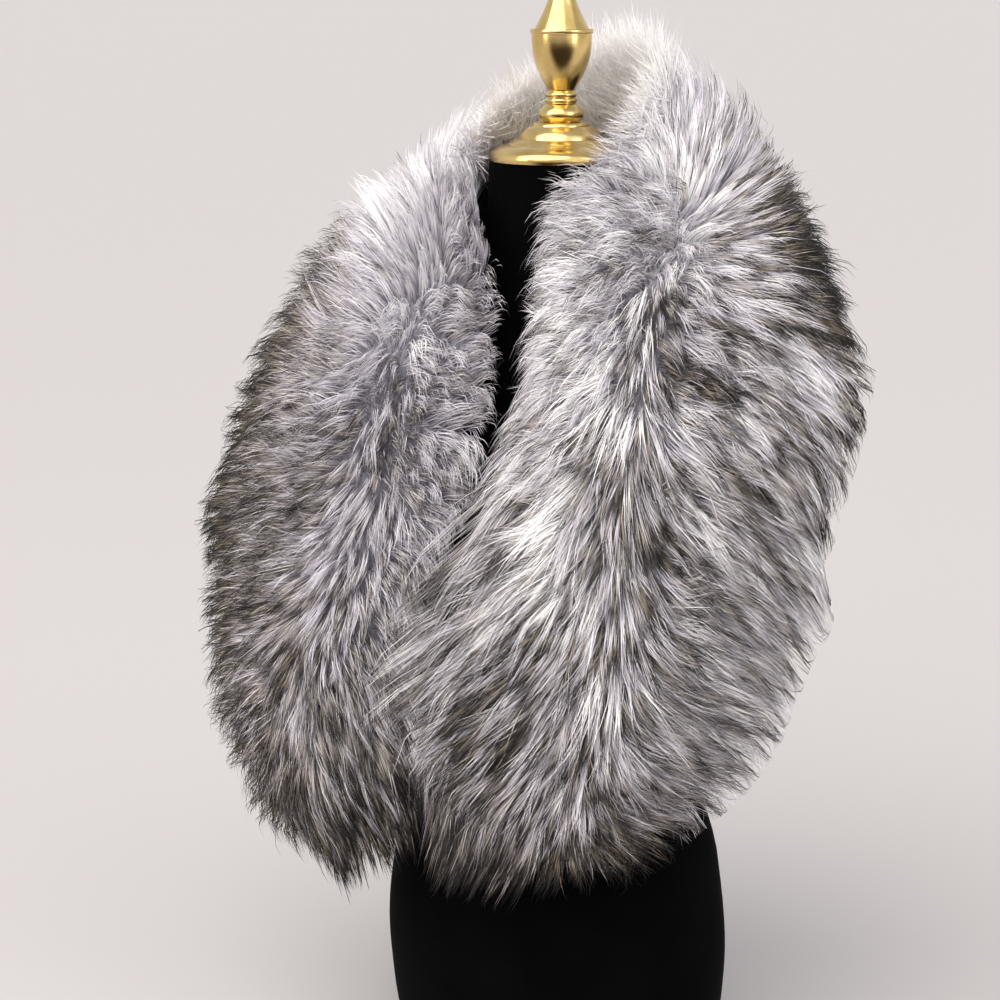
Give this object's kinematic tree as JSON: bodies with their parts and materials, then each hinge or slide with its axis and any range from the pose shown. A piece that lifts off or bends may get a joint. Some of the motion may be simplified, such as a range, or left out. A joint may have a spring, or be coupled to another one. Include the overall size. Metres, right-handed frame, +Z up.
{
  "type": "fur collar wrap on a dress form",
  "caption": "Long-haired silver-grey fur collar wrap, open down the front, on a limbless black dress form with a polished gold neck cap and turned finial.",
  "frame": {"origin": "centre of the form's flat underside, on the floor", "axes": "+Z up; -Y the way the wearer faces; +X the wearer's left"},
  "size_m": [0.5942, 0.4298, 0.9836],
  "materials": {
    "fur_ground_cloth": "matt knitted ground cloth",
    "silver_grey_fur": "long soft hair with dark tips",
    "black_velvet_cover": "matt black velvet",
    "polished_gold": "polished gold-coloured metal"
  },
  "bodies": {
    "root": {"backing_left": "fur_ground_cloth", "backing_right": "fur_ground_cloth", "fur_left": "silver_grey_fur", "fur_right": "silver_grey_fur", "form_body": "black_velvet_cover", "neck_cap": "polished_gold", "finial": "polished_gold"}
  },
  "joints": []
}
